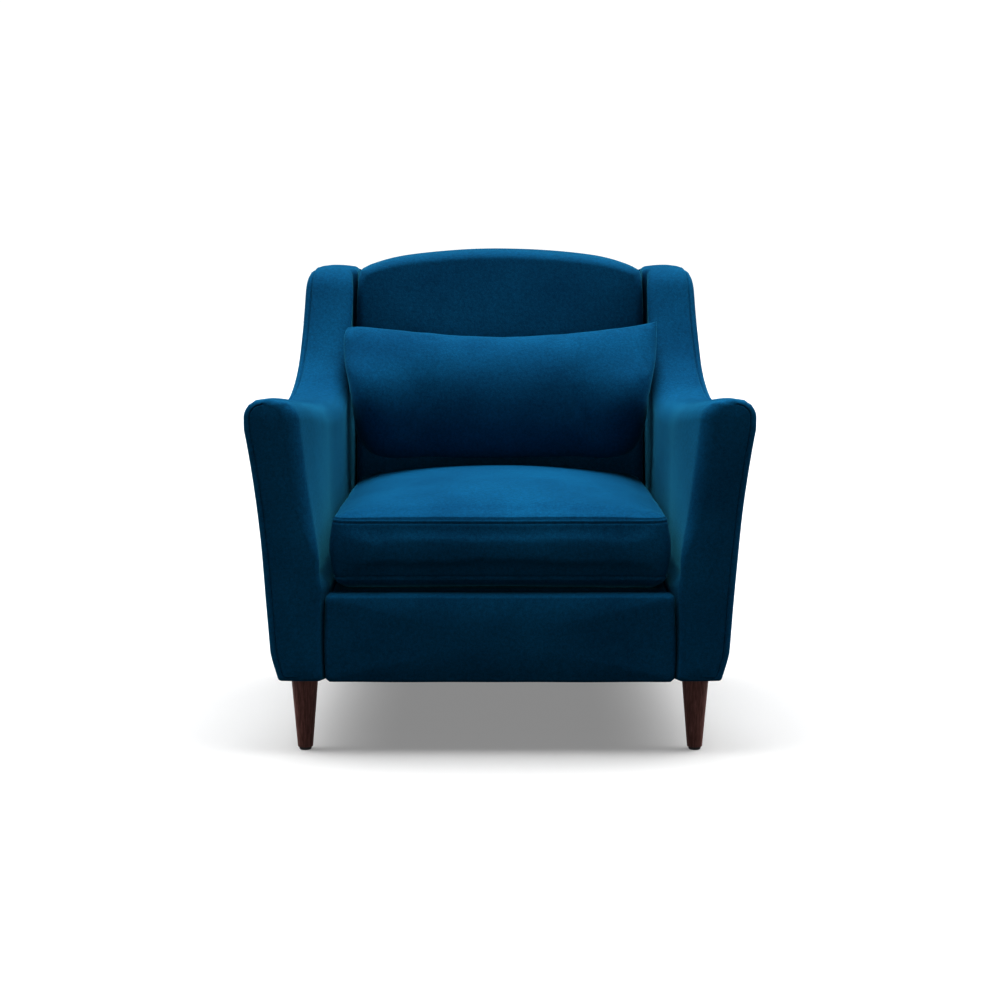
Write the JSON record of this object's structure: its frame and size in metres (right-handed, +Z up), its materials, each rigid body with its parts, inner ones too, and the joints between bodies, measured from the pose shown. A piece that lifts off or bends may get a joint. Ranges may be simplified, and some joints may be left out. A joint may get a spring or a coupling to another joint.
{
  "type": "upholstered armchair",
  "caption": "Upholstered armchair with flared arms sweeping up into wings, arched back, loose seat cushion, lumbar cushion and tapered wooden legs.",
  "frame": {"origin": "on the floor, under the middle of the chair's bounding box", "axes": "+Z up; the sitter faces -Y; +X is the sitter's left, across the arms"},
  "size_m": [0.9, 0.88, 0.872],
  "materials": {
    "velvet": "matte",
    "padding": "matte",
    "lining_cloth": "matte",
    "webbing": "matte",
    "leg_wood": "satin",
    "frame_wood": "matte",
    "steel": "satin",
    "glide_plastic": "matte",
    "zip_tape": "matte",
    "zip_metal": "satin"
  },
  "bodies": {
    "frame": {"back_lower_rail": "frame_wood", "back_top_rail": "frame_wood", "back_webbing": "webbing", "corner_blocks": "frame_wood", "dust_cover": "lining_cloth", "front_border_cover": "velvet", "front_border_padding": "padding", "front_left_leg": "leg_wood", "front_right_leg": "leg_wood", "front_seat_rail": "frame_wood", "inside_back_cover": "velvet", "inside_back_padding": "padding", "left_arm_base_rail": "frame_wood", "left_arm_cover": "velvet", "left_arm_padding": "padding", "left_arm_top_rail": "frame_wood", "left_back_post": "frame_wood", "left_front_arm_post": "frame_wood", "left_seat_rail": "frame_wood", "left_wing_board": "frame_wood", "leg_glides": "glide_plastic", "leg_hanger_bolts": "steel", "leg_plate_screws": "steel", "leg_plates": "steel", "outside_back_cover": "velvet", "outside_back_padding": "padding", "rear_left_leg": "leg_wood", "rear_right_leg": "leg_wood", "rear_seat_rail": "frame_wood", "right_arm_base_rail": "frame_wood", "right_arm_cover": "velvet", "right_arm_padding": "padding", "right_arm_top_rail": "frame_wood", "right_back_post": "frame_wood", "right_front_arm_post": "frame_wood", "right_seat_rail": "frame_wood", "right_wing_board": "frame_wood", "seat_deck_cover": "velvet", "seat_deck_pad": "padding", "seat_spring_1": "steel", "seat_spring_2": "steel", "seat_spring_3": "steel", "seat_spring_4": "steel", "seat_spring_5": "steel", "spring_clips": "steel"},
    "seat_cushion": {"seat_cushion_core": "padding", "seat_cushion_cover": "velvet", "seat_cushion_zip": "zip_tape"},
    "lumbar_cushion": {"lumbar_cushion_cover": "velvet", "lumbar_cushion_filling": "padding", "lumbar_cushion_zip": "zip_tape"},
    "seat_zip_slider": {"seat_zip_slider": "zip_metal"},
    "lumbar_zip_slider": {"lumbar_zip_slider": "zip_metal"}
  },
  "joints": [
    {"name": "seat_cushion_slide", "type": "slide", "parent": "frame", "child": "seat_cushion", "axis": [0, -1, 0], "range_m": [0, 0.6]},
    {"name": "lumbar_cushion_lift", "type": "slide", "parent": "frame", "child": "lumbar_cushion", "axis": [0, -0.1736, 0.9848], "range_m": [0, 0.3]},
    {"name": "seat_zip_slide", "type": "slide", "parent": "seat_cushion", "child": "seat_zip_slider", "axis": [-1, 0, 0], "range_m": [0, 0.43]},
    {"name": "lumbar_zip_slide", "type": "slide", "parent": "lumbar_cushion", "child": "lumbar_zip_slider", "axis": [-1, 0, 0], "range_m": [0, 0.38]}
  ]
}
